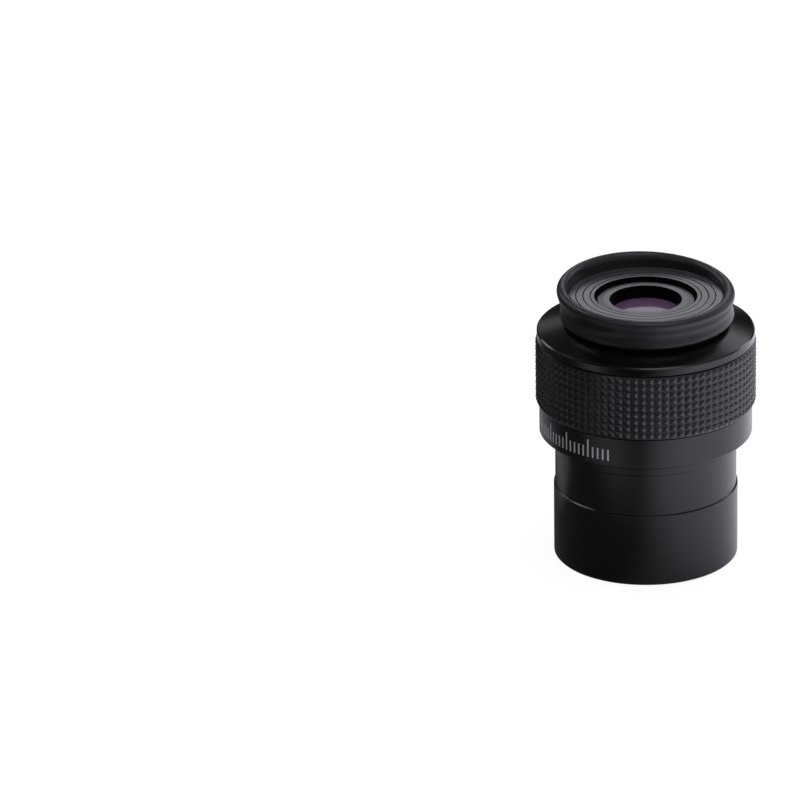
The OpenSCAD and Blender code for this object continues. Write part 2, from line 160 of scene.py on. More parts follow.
class Shader:
    """One procedural material, built node by node."""

    def __init__(self, name: str, world: Optional[bpy.types.World] = None) -> None:
        """Starts an empty material, or empties a world's nodes.

        Args:
            name: The material's name.
            world: The world to shade in place of a new material.
        """
        self.material = world or bpy.data.materials.new(name)
        self.material.use_nodes = True
        self.tree = self.material.node_tree
        self.tree.nodes.clear()
        place = "Generated" if world else "Object"
        self.place = self.node("ShaderNodeTexCoord").outputs[place]

    def node(self, kind: str, settings: Table = None, inputs: Table = None) -> bpy.types.Node:
        """Adds any node.

        Args:
            kind: The node's type.
            settings: Its own settings, which are set first.
            inputs: Values or links of its sockets, by name or number.

        Returns:
            The new node.
        """
        made = self.tree.nodes.new(kind)
        for key, value in (settings or {}).items():
            setattr(made, key, value)
        for key, value in (inputs or {}).items():
            source = value.socket if isinstance(value, Value) else value
            if isinstance(source, bpy.types.NodeSocket):
                self.tree.links.new(source, made.inputs[key])
            else:
                made.inputs[key].default_value = source
        return made

    def number(self, kind: str, settings: Table = None, inputs: Table = None) -> Value:
        """Adds a node and takes its first output as a number."""
        return Value(self, self.node(kind, settings, inputs).outputs[0])

    def attribute(self, name: str) -> Value:
        """Reads a number that the mesh carries at each vertex."""
        return Value(self, self.node("ShaderNodeAttribute", {"attribute_name": name}).outputs["Fac"])

    def noise(self, scale: float, detail: float = 2.0, roughness: float = 0.5) -> Value:
        """Smooth noise through space, from 0 to 1, with its scale in features per metre."""
        inputs = {"Vector": self.place, "Scale": scale, "Detail": detail, "Roughness": roughness}
        return self.number("ShaderNodeTexNoise", {"noise_dimensions": "3D"}, inputs)

    def rings(self, along: Value, detail: float = 1.0) -> Value:
        """Noise from 0 to 1 that changes only along one number, as a lathe's tool marks do."""
        inputs = {"W": along, "Scale": 1.0, "Detail": detail}
        return self.number("ShaderNodeTexNoise", {"noise_dimensions": "1D"}, inputs)

    def specks(self, scale: float, size: float) -> Value:
        """Small round specks of dust, one to a cell, of which about a third show.

        Args:
            scale: Cells per metre.
            size: How much of its cell a speck covers.

        Returns:
            1 on a speck and 0 elsewhere.
        """
        cells = self.node("ShaderNodeTexVoronoi", {}, {"Vector": self.place, "Scale": scale})
        shown = self.node("ShaderNodeSeparateColor", {}, {"Color": cells.outputs["Color"]})
        near = Value(self, cells.outputs["Distance"]) < size
        shown_above = 0.66
        return near * (Value(self, shown.outputs[0]) > shown_above)

    def axes(self) -> tuple[Value, Value, Value]:
        """The object's own X, Y and Z."""
        split = self.node("ShaderNodeSeparateXYZ", {}, {"Vector": self.place})
        return tuple(Value(self, socket) for socket in split.outputs)

    def mix(self, amount: Number, first: Any, second: Any) -> bpy.types.NodeSocket:
        """Mixes two colours.

        Args:
            amount: 0 for the first, 1 for the second.
            first: A colour or a socket.
            second: A colour or a socket.

        Returns:
            The mixed colour.
        """
        pair = [tuple(c) + (1.0,) if isinstance(c, tuple) else c for c in (first, second)]
        made = self.node("ShaderNodeMix", {"data_type": "RGBA"}, {0: amount, 6: pair[0], 7: pair[1]})
        return made.outputs[2]

    def bump(self, height: Value, depth: float, strength: float = 1.0) -> bpy.types.NodeSocket:
        """Turns a height from 0 to 1 into a bumped normal, with its depth in metres."""
        inputs = {"Height": height, "Distance": depth, "Strength": strength}
        return self.node("ShaderNodeBump", {}, inputs).outputs[0]

    def surface(self, **inputs: Any) -> bpy.types.Node:
        """Adds the main shader, with sockets named in words joined by underscores.

        Args:
            **inputs: Values or links of its sockets.

        Returns:
            The shader node.
        """
        named = {}
        for key, value in inputs.items():
            words = (word if word.isupper() else word.capitalize() for word in key.split("_"))
            named[" ".join(words)] = value
        return self.node("ShaderNodeBsdfPrincipled", {}, named)

    def blend(self, amount: Number, first: bpy.types.Node, second: bpy.types.Node) -> bpy.types.Node:
        """Mixes two shaders, 0 for the first and 1 for the second."""
        inputs = {0: amount, 1: first.outputs[0], 2: second.outputs[0]}
        return self.node("ShaderNodeMixShader", {}, inputs)

    def finish(self, last: bpy.types.Node) -> bpy.types.Material:
        """Joins the last shader node to the output and gives the finished material."""
        self.node("ShaderNodeOutputMaterial", {}, {"Surface": last.outputs[0]})
        return self.material


def shaded(colour: Colour, share: float) -> Colour:
    """A colour made darker or lighter by a share."""
    return tuple(c * share for c in colour)


@dataclass(frozen=True)
class Ticks:
    """A short run of filled index lines round the band, in millimetres and degrees."""

    low: float
    high: float
    middle: float
    apart: float = 3.0
    half_run: float = 34.5
    short: float = 0.62

    def paint(self, s: Shader, x: Value, y: Value, z: Value) -> Value:
        """Where the paint is.

        The angle round the axis is cut into equal cells, and a line fills the middle of each. Every
        fifth line is longer, and the run covers one arc.

        Args:
            s: The shader.
            x: The object's own X.
            y: The object's own Y.
            z: The object's own Z.

        Returns:
            1 in a line and 0 elsewhere.
        """
        angle = s.number("ShaderNodeMath", {"operation": "ARCTAN2"}, {0: y, 1: x}) * (360.0 / TURN)
        cells = (angle - self.middle) / self.apart
        line = abs(cells.fraction() - 0.5).step(0.19, 0.15)
        fifth = abs((cells / 5.0).fraction() - 0.5).step(0.102, 0.098)
        run = abs(angle - (self.middle + self.apart / 2)).step(self.half_run + 0.1, self.half_run - 0.1)
        tall = self.high - self.low
        top = (self.low + tall * self.short) + fifth * (tall * (1.0 - self.short))
        height = z * (1.0 / MM)
        return line * run * (height > self.low) * (height < top)


@dataclass(frozen=True)
class Anodised:
    """Black anodised aluminium: lathe marks under the dye, scuffed edges, a painted edge highlight and a
    little dust.

    The colour is the dye, mottled by noise and lightened towards grey on edges: by scuffed wear, and
    by a painted highlight laid evenly along every convex edge. The bump is noise along the tool's path,
    which is the level plus the distance from the axis.
    """

    name: str
    colour: Colour
    roughness: float
    specular: float = 0.5
    tool_pitch: float = 0.12
    tool_depth: float = 0.0006
    wear: float = 0.5
    # Painted highlight: an even share of grey along every convex edge.
    painted_edge_highlight: float = 0.0
    dust: float = 0.35
    ticks: Optional[Ticks] = None

    def build(self) -> bpy.types.Material:
        """Makes the material. A bore turns near black and rough: a blackened finish, and painted shade inside
        holes.

        Returns:
            The material.
        """
        s = Shader(self.name)
        x, y, z = s.axes()
        radius = (x * x + y * y) ** 0.5
        path = (z + radius) * (1.0 / (self.tool_pitch * MM))
        tool = s.rings(path)
        broad = s.rings(path * 0.07, 3.0)
        mottle = s.noise(90.0, 4.0, 0.6)
        scuff = s.noise(1400.0, 3.0, 0.7)
        colour = s.mix(mottle, shaded(self.colour, 0.8), shaded(self.colour, 1.25))
        # Edges lighten towards grey: scuffed wear plus an even painted highlight.
        edge_lightening = s.attribute("edge") * (scuff.step(0.42, 0.75) * self.wear + self.painted_edge_highlight)
        colour = s.mix(edge_lightening, colour, BARE_METAL_AND_EDGE_HIGHLIGHT)
        speck = s.specks(420.0, 0.075) * (mottle.step(0.45, 0.6) * self.dust)
        colour = s.mix(speck, colour, METAL_DUST)
        # Inward-facing walls go near black: a blackened bore finish plus painted shade in holes and wells.
        inside = s.attribute("bore").step(0.6, 0.9)
        colour = s.mix(inside, colour, BORE_BLACK_AND_SHADE)
        rough = self.roughness + (mottle - 0.5) * 0.08 + (broad - 0.5) * 0.05 + speck * 0.4
        rough = rough + inside * (0.72 - self.roughness)
        if self.ticks:
            paint = self.ticks.paint(s, x, y, z)
            colour = s.mix(paint * 0.94, colour, TICK_PAINT)
            rough = rough + paint * 0.2
        return s.finish(s.surface(
            base_color=colour, roughness=rough, metallic=inside * 0.9, specular_IOR_level=self.specular,
            normal=s.bump(tool * 0.7 + broad * 0.3, self.tool_depth * MM),
        ))


@dataclass(frozen=True)
class MouldedRubber:
    """Moulded rubber: a fine grain, rubbed high spots and pale dust in the hollows.

    The grain is fine noise as bump. Where the mesh carries a relief, its high parts are rubbed smooth
    and its low parts hold dust.
    """

    name: str
    colour: Colour
    roughness: float
    specular: float = 0.4
    grain: float = 2600.0
    grain_depth: float = 0.03
    rubbed: float = 0.0
    dust: float = 0.25

    def build(self) -> bpy.types.Material:
        """Makes the material.

        Returns:
            The material.
        """
        s = Shader(self.name)
        relief = s.attribute("relief")
        mottle = s.noise(70.0, 4.0, 0.6)
        grain = s.noise(self.grain, 3.0, 0.65)
        flow = s.noise(300.0, 2.0, 0.5)
        colour = s.mix(mottle * 0.6 + flow * 0.4, shaded(self.colour, 0.82), shaded(self.colour, 1.2))
        hollow = (1.0 - relief).step(0.35, 1.0) * mottle.step(0.3, 0.75)
        colour = s.mix(hollow * self.dust, colour, RUBBER_DUST)
        lint = s.specks(520.0, 0.06) * mottle.step(0.48, 0.62)
        colour = s.mix(lint * self.dust, colour, LINT)
        rough = self.roughness + (grain - 0.5) * 0.16 + (mottle - 0.5) * 0.1
        rough = rough - relief.step(0.6, 1.0) * self.rubbed
        return s.finish(s.surface(
            base_color=colour, roughness=rough, specular_IOR_level=self.specular,
            normal=s.bump(grain * 0.6 + flow * 0.4, self.grain_depth * MM, 0.7),
        ))


@dataclass(frozen=True)
class CoatedLens:
    """Polished glass with a tinted coating, and a rim ground and painted black.

    The mesh carries the rim as 1 on its edge and 0 on its polished faces, and that mixes the paint
    over the glass. A share of soft, even colour over the clear glass is a painted sheen that stands in
    for the coating's coloured reflection. A few specks of dust and a faint wipe mark lie on it.
    """

    name: str
    glass: Colour
    coat: tuple[float, float, float, float]
    painted_coat_sheen: Colour = (0.0, 0.0, 0.0)
    painted_coat_sheen_share: float = 0.0
    gloss: float = 0.9
    index: float = 1.62

    def build(self) -> bpy.types.Material:
        """Makes the material.

        Returns:
            The material.
        """
        s = Shader(self.name)
        wipe = s.noise(260.0, 3.0, 0.6)
        speck = s.specks(900.0, 0.05)
        rough = 0.015 + wipe.step(0.45, 0.8) * 0.03 + speck * 0.3
        polish = {"IOR": self.index, "specular_IOR_level": self.gloss}
        glass = s.surface(
            base_color=s.mix(speck * 0.5, self.glass, LENS_DUST), roughness=rough, transmission_weight=1.0,
            specular_tint=self.coat, **polish,
        )
        # A painted sheen: an even diffuse colour standing in for the coating's coloured reflection.
        painted_coat_sheen = s.surface(
            base_color=s.mix(speck * 0.4 + wipe * 0.1, self.painted_coat_sheen, LENS_HAZE), roughness=rough + 0.1, **polish
        )
        grind = s.noise(3000.0, 2.0, 0.6)
        rim = s.surface(
            base_color=(*FLAT_BLACK, 1.0), roughness=0.65 + (grind - 0.5) * 0.2,
            normal=s.bump(grind, 0.02 * MM, 0.6),
        )
        on_rim = s.attribute("rim").step(0.4, 0.6)
        return s.finish(s.blend(on_rim, s.blend(self.painted_coat_sheen_share, glass, painted_coat_sheen), rim))


@dataclass(frozen=True)
class MattPaint:
    """Flat black paint on the inside metal, sprayed over turned ridges, with a dusty tooth."""

    name: str
    colour: Colour = FLAT_BLACK
    roughness: float = 0.75

    def build(self) -> bpy.types.Material:
        """Makes the material. The bump is spray grain over the tool's noise.

        Returns:
            The material.
        """
        s = Shader(self.name)
        x, y, z = s.axes()
        tool = s.rings((z + (x * x + y * y) ** 0.5) * (1.0 / (0.25 * MM)))
        spray = s.noise(2200.0, 3.0, 0.7)
        mottle = s.noise(120.0, 3.0, 0.6)
        edge_lightening = s.attribute("edge") * spray.step(0.5, 0.8) * 0.35
        colour = s.mix(mottle, shaded(self.colour, 0.8), shaded(self.colour, 1.4))
        colour = s.mix(edge_lightening, colour, (0.2, 0.2, 0.2))
        return s.finish(s.surface(
            base_color=colour, roughness=self.roughness + (spray - 0.5) * 0.2, specular_IOR_level=0.3,
            normal=s.bump(spray * 0.5 + tool * 0.5, 0.012 * MM, 0.8),
        ))


@dataclass(frozen=True)
class OxideSteel:
    """Blackened steel of the grub screws, rubbed bright where a key has turned them."""

    name: str

    def build(self) -> bpy.types.Material:
        """Makes the material. The rubbing is noise through space, and lifts metal and gloss together.

        Returns:
            The material.
        """
        s = Shader(self.name)
        rub = s.noise(1500.0, 3.0, 0.7).step(0.5, 0.72)
        grain = s.noise(4000.0, 2.0, 0.5)
        colour = s.mix(rub, (0.03, 0.029, 0.028), (0.22, 0.21, 0.2))
        return s.finish(s.surface(
            base_color=colour, metallic=0.6 + rub * 0.3, roughness=0.45 - rub * 0.12,
            normal=s.bump(grain, 0.01 * MM, 0.5),
        ))


Finish = Union[Anodised, MouldedRubber, CoatedLens, MattPaint, OxideSteel]


# ---------------------------------------------------------------------------------------------
# Turned shapes

ON_WALL = 0.002
FILTER_PITCH = 0.75
FILTER_DEPTH = 0.42


@dataclass(frozen=True)
class Thread:
    """A helical thread on one upright wall of a turned piece."""

    radius: float
    low: float
    high: float
    pitch: float
    depth: float
    cut: Cut
    rows_per_pitch: int = 8
    flat: float = 0.12

    def insert(self, loop: np.ndarray, edge: np.ndarray) -> tuple[np.ndarray, np.ndarray]:
        """Splits the wall into rows close enough to carry the thread.

        The longest stretch of the outline that lies at the thread's radius gets evenly spaced points.

        Args:
            loop: Outline points, radius and level.
            edge: How much each point is a convex edge, which takes scuffs and the painted edge highlight.

        Returns:
            The longer outline and its edges.
        """
        after = np.roll(loop, -1, axis=0)
        on_wall = np.maximum(np.abs(loop[:, 0] - self.radius), np.abs(after[:, 0] - self.radius)) < ON_WALL
        first = int(np.argmax(np.abs(after[:, 1] - loop[:, 1]) * on_wall))
        rows = int((self.high - self.low) / self.pitch * self.rows_per_pitch)
        share = np.linspace(0.0, 1.0, rows + 2)[1:-1, None]
        added = loop[first] * (1.0 - share) + after[first] * share
        return np.insert(loop, first + 1, added, axis=0), np.insert(edge, first + 1, np.zeros(rows))

    def lift(self, radius: np.ndarray, level: np.ndarray, angle: np.ndarray) -> np.ndarray:
        """How far the thread is cut into its wall.

        The wave is a triangle of the level over the pitch less the angle over a turn, flattened at
        crest and root, and it fades out over half a pitch at both ends.

        Args:
            radius: Radius at each grid point.
            level: Level at each grid point.
            angle: Angle at each grid point.

        Returns:
            The change of radius at each grid point.
        """
        phase = np.mod(level / self.pitch - angle / TURN, 1.0)
        wave = np.clip((np.abs(2.0 * phase - 1.0) - self.flat) / (1.0 - 2.0 * self.flat), 0.0, 1.0)
        fade = np.clip((level - self.low) / (0.5 * self.pitch), 0.0, 1.0)
        fade = fade * np.clip((self.high - level) / (0.5 * self.pitch), 0.0, 1.0)
        on_wall = np.abs(radius - self.radius) < ON_WALL
        return wave * fade * on_wall * self.depth * self.cut.value


@dataclass(frozen=True)
class Outline:
    """Closed outline of a turned piece, as corners of radius, level and, where it is its own, rounding."""

    corners: tuple[Corner, ...]
    rounding: float = 0.05
    steps: int = 5
    support: float = 0.12
    least: float = 0.02

    def points(self) -> tuple[np.ndarray, np.ndarray]:
        """Rounds every corner.

        Each corner becomes a parabola from a point on one side to a point on the other, at the
        distance where a circle of that rounding would touch. One more point stands just outside
        each end, so that flat faces stay flat under smooth shading.

        Returns:
            The outline's points going round anticlockwise, and 1 on convex edges down to 0 on faces.
        """
        table = np.array([(*corner, self.rounding)[:3] for corner in self.corners])
        x, y = table[:, 0], table[:, 1]
        if np.sum(x * np.roll(y, -1) - np.roll(x, -1) * y) < 0.0:
            table = table[::-1]
        place = table[:, :2]
        back = np.roll(place, 1, axis=0) - place
        ahead = np.roll(place, -1, axis=0) - place
        back_length = np.linalg.norm(back, axis=1, keepdims=True)
        ahead_length = np.linalg.norm(ahead, axis=1, keepdims=True)
        back, ahead = back / back_length, ahead / ahead_length
        half = 0.5 * np.arccos(np.clip(np.sum(back * ahead, axis=1, keepdims=True), -1.0, 1.0))
        reach = np.maximum(table[:, 2:3], self.least) / np.tan(half)
        reach = np.minimum(reach, 0.4 * np.minimum(back_length, ahead_length))
        t = np.linspace(0.0, 1.0, self.steps)[None, :, None]
        start, end = place + back * reach, place + ahead * reach
        arc = (1 - t) ** 2 * start[:, None] + 2 * t * (1 - t) * place[:, None] + t**2 * end[:, None]
        before = start + back * np.minimum(self.support, 0.08 * back_length)
        after = end + ahead * np.minimum(self.support, 0.08 * ahead_length)
        loop = np.concatenate([before[:, None], arc, after[:, None]], axis=1).reshape(-1, 2)
        convex = (back[:, 1] * ahead[:, 0] - back[:, 0] * ahead[:, 1]) > 0.0
        bell = np.concatenate([[0.0], np.sin(np.pi * t.ravel()), [0.0]])
        return loop, (bell[None, :] * convex[:, None]).ravel()


class Piece:
    """One mesh object, with what it rides on, replaces and takes its finish from."""

    def __init__(self, name: str, vertices: np.ndarray, faces: np.ndarray) -> None:
        """Makes the mesh object at the origin.

        Args:
            name: The piece's name.
            vertices: One row of X, Y and Z in metres for each vertex.
            faces: One row of vertex numbers for each face, with -1 to end a triangle.
        """
        mesh = bpy.data.meshes.new(name)
        sides = np.count_nonzero(faces >= 0, axis=1)
        corners = faces[faces >= 0]
        mesh.vertices.add(len(vertices))
        mesh.vertices.foreach_set("co", vertices.astype(np.float32).ravel())
        mesh.loops.add(len(corners))
        mesh.loops.foreach_set("vertex_index", corners.astype(np.int32))
        mesh.polygons.add(len(faces))
        mesh.polygons.foreach_set("loop_start", np.concatenate([[0], np.cumsum(sides)[:-1]]).astype(np.int32))
        mesh.polygons.foreach_set("use_smooth", np.full(len(faces), True))
        mesh.update(calc_edges=True)
        mesh.validate()
        self.mesh = mesh
        self.object = bpy.data.objects.new(name, mesh)
        bpy.context.scene.collection.objects.link(self.object)

    def carry(self, name: str, values: np.ndarray) -> None:
        """Stores one number at each vertex, in vertex order, for the material to read."""
        layer = self.mesh.attributes.new(name=name, type="FLOAT", domain="POINT")
        layer.data.foreach_set("value", values.astype(np.float32).ravel())

    def place(self, body: Body, slot: Slot, material: bpy.types.Material, *nodes: str) -> None:
        """Dresses the piece and ties it to the frame.

        Args:
            body: The body it rides on.
            slot: Not used.
            material: Its material.
            *nodes: The CAD nodes it stands for.
        """
        self.mesh.materials.append(material)
        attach(self.object, body.value)
        if nodes:
            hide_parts(*nodes)
        LOG.info("%s: %d faces on %s", self.object.name, len(self.mesh.polygons), body.value)


def grid_faces(rows: int, columns: int) -> np.ndarray:
    """Four-sided faces of a grid that closes both ways.

    Vertex (row, column) has the number row times columns plus column. Each face goes one column
    on, one row on, and back, so it looks outwards when the rows go round anticlockwise.

    Args:
        rows: Number of rows.
        columns: Number of columns.

    Returns:
        One row of four vertex numbers for each face.
    """
    row, column = np.meshgrid(np.arange(rows), np.arange(columns), indexing="ij")
    up, on = (row + 1) % rows, (column + 1) % columns
    corners = [row * columns + column, row * columns + on, up * columns + on, up * columns + column]
    return np.stack(corners, axis=-1).reshape(-1, 4)


def place_grid(radius: np.ndarray, level: np.ndarray, angle: np.ndarray) -> np.ndarray:
    """Turns grids of radius and level in millimetres, and angle in radians, into rows of metres."""
    points = np.stack([radius * np.cos(angle), radius * np.sin(angle), level + 0.0 * angle], axis=-1)
    return points.reshape(-1, 3) * MM


def turned(name: str, outline: Outline, columns: int = 192, threads: tuple[Thread, ...] = ()) -> Piece:
    """Turns a closed outline round the axis into a ring, and cuts its threads.

    Args:
        name: The piece's name.
        outline: The outline.
        columns: Steps round the axis.
        threads: Threads on its upright walls.

    Returns:
        The piece.
    """
    loop, edge = outline.points()
    for thread in threads:
        loop, edge = thread.insert(loop, edge)
    angle = np.arange(columns)[None, :] * (TURN / columns)
    radius = np.repeat(loop[:, :1], columns, axis=1)
    level = np.repeat(loop[:, 1:], columns, axis=1)
    lift = sum((thread.lift(radius, level, angle) for thread in threads), np.zeros_like(radius))
    piece = Piece(name, place_grid(radius + lift, level, angle), grid_faces(len(loop), columns))
    piece.carry("edge", np.repeat(edge, columns))
    run = np.roll(loop, -1, axis=0) - np.roll(loop, 1, axis=0)
    inward = np.clip(-run[:, 1] / np.linalg.norm(run, axis=1), 0.0, 1.0)
    # The bore mask lets the finish darken inward-facing walls, partly as painted shade in holes.
    piece.carry("bore", np.repeat(inward, columns))
    return piece


@dataclass(frozen=True)
class Span:
    """Outside radius, lowest level and highest level of a CAD node, in millimetres."""

    radius: float
    low: float
    high: float

    @classmethod
    def of(cls, node: str) -> "Span":
        """Reads a node's box from the frame."""
        least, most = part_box(node)
        return cls((most[0] - least[0]) / 2 / MM, least[2] / MM, most[2] / MM)


@dataclass(frozen=True)
class LensShape:
    """A lens: two spherical faces and a rim with bevelled edges."""

    radius: float
    top: float
    top_curve: float
    bottom: float
    bottom_curve: float
    bevel: float = 0.15
    rows: int = 20
    rim_rows: int = 4
    columns: int = 96

    @staticmethod
    def drop(curve: float, radius: np.ndarray) -> np.ndarray:
        """Height lost from a sphere's top out to a radius, which is 0 on a flat face.

        It is R - sqrt(R R - r r) for a face of radius R, with R's own sign.

        Args:
            curve: The face's radius in millimetres, or 0 for a flat face.
            radius: Distances from the axis in millimetres.

        Returns:
            The heights in millimetres.
        """
        if curve == 0.0:
            return np.zeros_like(radius)
        return math.copysign(1.0, curve) * (abs(curve) - np.sqrt(curve * curve - radius * radius))

    def build(self, name: str) -> Piece:
        """Makes the lens as rows from the bottom's middle, round the rim, to the top's middle.

        Args:
            name: The piece's name.

        Returns:
            The piece.
        """
        inner = self.radius - self.bevel
        out = np.linspace(0.0, inner, self.rows + 1)[1:]
        low = self.bottom + self.drop(self.bottom_curve, out)
        high = self.top - self.drop(self.top_curve, out)
        rim = np.linspace(low[-1] + self.bevel, high[-1] - self.bevel, self.rim_rows)
        radius = np.concatenate([out, np.full(self.rim_rows, self.radius), out[::-1]])
        level = np.concatenate([low, rim, high[::-1]])
        angle = np.arange(self.columns)[None, :] * (TURN / self.columns)
        body = place_grid(radius[:, None] * np.ones_like(angle), level[:, None], angle)
        poles = np.array([[0.0, 0.0, self.bottom], [0.0, 0.0, self.top]]) * MM
        count = len(radius)
        quads = grid_faces(count, self.columns)[: (count - 1) * self.columns]
        step = np.arange(self.columns)
        after = (step + 1) % self.columns
        end = np.full(self.columns, -1)
        low_fan = np.stack([np.full(self.columns, len(body)), after, step, end], axis=-1)
        last = (count - 1) * self.columns
        high_fan = np.stack([np.full(self.columns, len(body) + 1), last + step, last + after, end], axis=-1)
        piece = Piece(name, np.concatenate([body, poles]), np.concatenate([quads, low_fan, high_fan]))
        on_rim = np.repeat((radius > self.radius - 1e-6).astype(float), self.columns)
        piece.carry("rim", np.concatenate([on_rim, [0.0, 0.0]]))
        return piece


# ---------------------------------------------------------------------------------------------
# Finishes

BARREL_DYE = Anodised("barrel_dye", (0.005, 0.005, 0.007), 0.25, tool_depth=0.0003, wear=0.04, dust=0.05)
BODY_DYE = Anodised(
    # The painted highlight lights the cap's edges and bevel.
    "body_dye", (0.0025, 0.0025, 0.0035), 0.2, tool_depth=0.0001, wear=0.02, painted_edge_highlight=0.14, dust=0.1
)
BAND_DYE = Anodised(
    "band_dye", (0.006, 0.006, 0.008), 0.22, tool_depth=0.0003, wear=0.06, dust=0.1,
    ticks=Ticks(38.2, 43.4, -145.0),
)
# The eye ring's dye is lifted to dark grey so its top plate reads light: a painted sheen for the grazing
# reflection of the lights.
EYE_DYE_WITH_PAINTED_SHEEN = Anodised("eye_dye_painted_sheen", (0.062, 0.062, 0.067), 0.38, 1.0, tool_pitch=0.2, wear=0.25, dust=0.3)
# The retainer's dye is lifted to dark grey: painted light on its face, where the well wall and the cup block
# its reflections.
RETAINER_DYE_WITH_PAINTED_LIGHT = Anodised("retainer_dye_painted_light", (0.055, 0.053, 0.06), 0.36, 0.6, tool_pitch=0.15, wear=0.5, dust=0.2)
STEEL = OxideSteel("oxide_steel")
PAINT = MattPaint("flat_black")
GRIP_RUBBER = MouldedRubber("grip_rubber", (0.011, 0.012, 0.0155), 0.3, 0.62, rubbed=0.08, dust=0.08)
CUP_RUBBER = MouldedRubber(
    "cup_rubber", (0.015, 0.0155, 0.019), 0.42, 0.6, grain=3600.0, grain_depth=0.012, dust=0.1
)
EYE_GLASS = CoatedLens(
    "eye_glass", (0.5, 0.36, 0.54), (0.85, 0.5, 0.9, 1.0),
    # The eye lens's mauve is partly a painted sheen for its coating's reflection.
    painted_coat_sheen=(0.3, 0.16, 0.31), painted_coat_sheen_share=0.6, gloss=0.5, index=1.2,
)
FIELD_GLASS = CoatedLens("field_glass", (0.85, 0.95, 0.9), (0.25, 0.9, 0.55, 1.0))
INNER_GLASS = CoatedLens("inner_glass", (0.93, 0.9, 0.94), (0.5, 0.3, 0.6, 1.0))


# ---------------------------------------------------------------------------------------------
# Sub-assemblies


@dataclass
class Barrel:
    """The 2 inch barrel, with its undercut, filter thread, glare ridges and spigot thread."""

    radius: float = 25.4
    foot_bevel: float = 0.45
    undercut: float = 25.0
    undercut_low: float = 20.9
    undercut_high: float = 32.5
    undercut_slope: float = 0.28
    collar_top: float = 36.7
    spigot: float = 24.2
    spigot_top: float = 42.3
    bore: float = 22.8
    ridges: tuple[float, float] = (7.0, 41.0)
    filter_radius: float = 23.6
    filter_top: float = 5.0
    step: float = 0.4

    def outline(self) -> Outline:
        """The barrel's outline, up the outside from the foot and down the bore.

        Returns:
            The outline.
        """
        return Outline((
            (self.radius - self.foot_bevel, 0.0, 0.12),
            (self.radius, self.foot_bevel, 0.18),
            (self.radius, self.undercut_low - self.undercut_slope, 0.12),
            (self.undercut, self.undercut_low, 0.08),
            (self.undercut, self.undercut_high, 0.08),
            (self.radius, self.undercut_high + self.undercut_slope, 0.12),
            (self.radius, self.collar_top),
            (self.spigot, self.collar_top),
            (self.spigot, self.spigot_top - self.step),
            (self.spigot - self.step, self.spigot_top),
            (self.bore, self.spigot_top, 0.1),
            (self.bore, self.filter_top + self.filter_radius - self.bore, 0.1),
            (self.filter_radius, self.filter_top),
            (self.filter_radius, self.step),
            (self.filter_radius + self.step, 0.0, 0.08),
        ))

    def build(self) -> None:
        """Turns the barrel and cuts its two threads and the glare ridges."""
        low, high = self.collar_top + 0.3, self.spigot_top - 0.6
        threads = (
            Thread(self.spigot, low, high, FILTER_PITCH, FILTER_DEPTH, Cut.MALE),
            Thread(self.filter_radius, self.step, self.filter_top, FILTER_PITCH, FILTER_DEPTH, Cut.FEMALE),
            Thread(self.bore, *self.ridges, 1.0, 0.35, Cut.FEMALE, rows_per_pitch=4),
        )
        piece = turned("barrel_turned", self.outline(), 192, threads)
        piece.place(Body.BARREL, Slot.BARREL_METAL, BARREL_DYE.build(), "barrel")


@dataclass
class Grip:
    """The rubber sleeve, moulded in rows of four-sided studs."""

    inner: float = 28.35
    tip: float = 30.5
    stud: float = 0.75
    low: float = 45.25
    high: float = 63.55
    margin: float = 0.15
    rim: float = 0.1
    lip: float = 0.08
    rows: int = 9
    columns: int = 88
    cell: int = 8
    softness: float = 0.2

    def relief(self, across: np.ndarray, up: np.ndarray) -> np.ndarray:
        """Height of the studs, from 0 in the valleys to 1 at a sharp tip.

        Across and up are taken from -1 to 1 over each stud. The height is 1 less the root of the
        greater one's square plus the softness squared, which rounds the tip, and never under 0.03.

        Args:
            across: Stud number round the sleeve.
            up: Stud number up the sleeve.

        Returns:
            The height at each grid point.
        """
        u, v = 2.0 * np.mod(across, 1.0) - 1.0, 2.0 * np.mod(up, 1.0) - 1.0
        reach = np.maximum(np.abs(u), np.abs(v))
        height = np.clip(1.0 - np.sqrt(reach**2 + self.softness**2), 0.0, 1.0)
        return np.where((up > 0.0) & (up < self.rows), height, 0.0)

    def build(self) -> None:
        """Lays the studs on a closed grid: the studded outside, two flat ends and the plain inside."""
        base = self.tip - self.stud
        up = np.linspace(0.0, self.rows, self.rows * self.cell + 1)
        level = self.low + self.margin + up * (self.high - self.low - 2 * self.margin) / self.rows
        skin = np.stack([np.full_like(level, base), level], axis=-1)
        foot = np.array([[self.inner, self.low], [base - self.rim, self.low], [base, self.low + self.lip]])
        head = np.array([[base, self.high - self.lip], [base - self.rim, self.high], [self.inner, self.high]])
        loop = np.concatenate([foot, skin, head])
        plain = np.full(len(foot), -1.0)
        number = np.concatenate([plain, up, plain])
        count = self.columns * self.cell
        around = np.arange(count)[None, :] / self.cell
        angle = around * (TURN / self.columns)
        relief = self.relief(around + 0.0 * number[:, None], number[:, None] + 0.0 * around)
        points = place_grid(loop[:, :1] + relief * self.stud, loop[:, 1:], angle)
        quads = grid_faces(len(loop), count)
        row, column = np.divmod(np.arange(len(quads)), count)
        east, north = (np.mod(n + 0.5, self.cell) - self.cell / 2 for n in (column, row - len(foot)))
        lean = (east * north > 0)[:, None]
        first = np.where(lean, quads[:, [0, 1, 2]], quads[:, [1, 2, 3]])
        second = np.where(lean, quads[:, [0, 2, 3]], quads[:, [1, 3, 0]])
        piece = Piece("grip_studs", points, np.concatenate([first, second]))
        piece.carry("relief", relief)
        piece.place(Body.HEAD, Slot.GRIP_RUBBER, GRIP_RUBBER.build(), "grip_sleeve")


